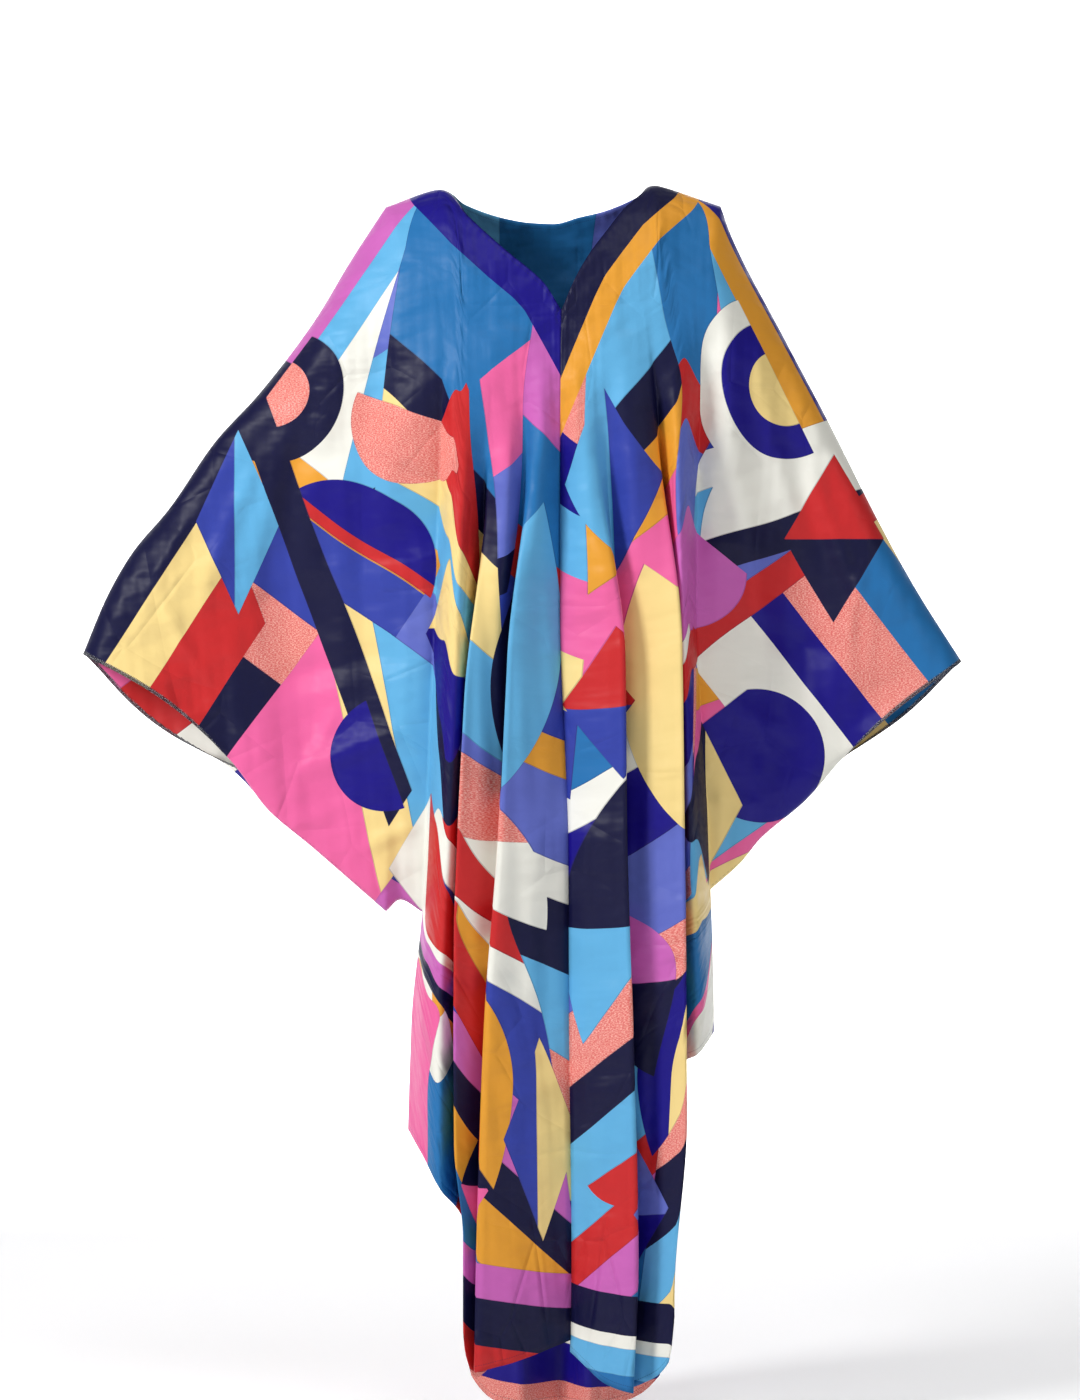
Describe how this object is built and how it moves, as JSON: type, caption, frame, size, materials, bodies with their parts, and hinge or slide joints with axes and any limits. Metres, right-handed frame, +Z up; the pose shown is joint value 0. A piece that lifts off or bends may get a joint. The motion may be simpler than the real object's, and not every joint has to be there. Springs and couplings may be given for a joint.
{
  "type": "maxi dress",
  "caption": "Long open kaftan dress with a deep V neck, wide sleeves cut in one with the panels, centre front seam and folds that fall to an uneven hem.",
  "frame": {"origin": "on the shoulder line, midway between the two shoulder points, where the wearer holds the dress up", "axes": "+Z up, -Y the front, +X to the viewer's right as seen from the front"},
  "size_m": [1.0558, 0.2481, 1.4805],
  "materials": {
    "front_left_cloth": "printed satin twill, soft sheen",
    "front_right_cloth": "printed satin twill, soft sheen",
    "back_cloth": "printed satin twill, soft sheen"
  },
  "bodies": {
    "root": {"front_left": "front_left_cloth", "front_right": "front_right_cloth", "back": "back_cloth"}
  },
  "joints": []
}
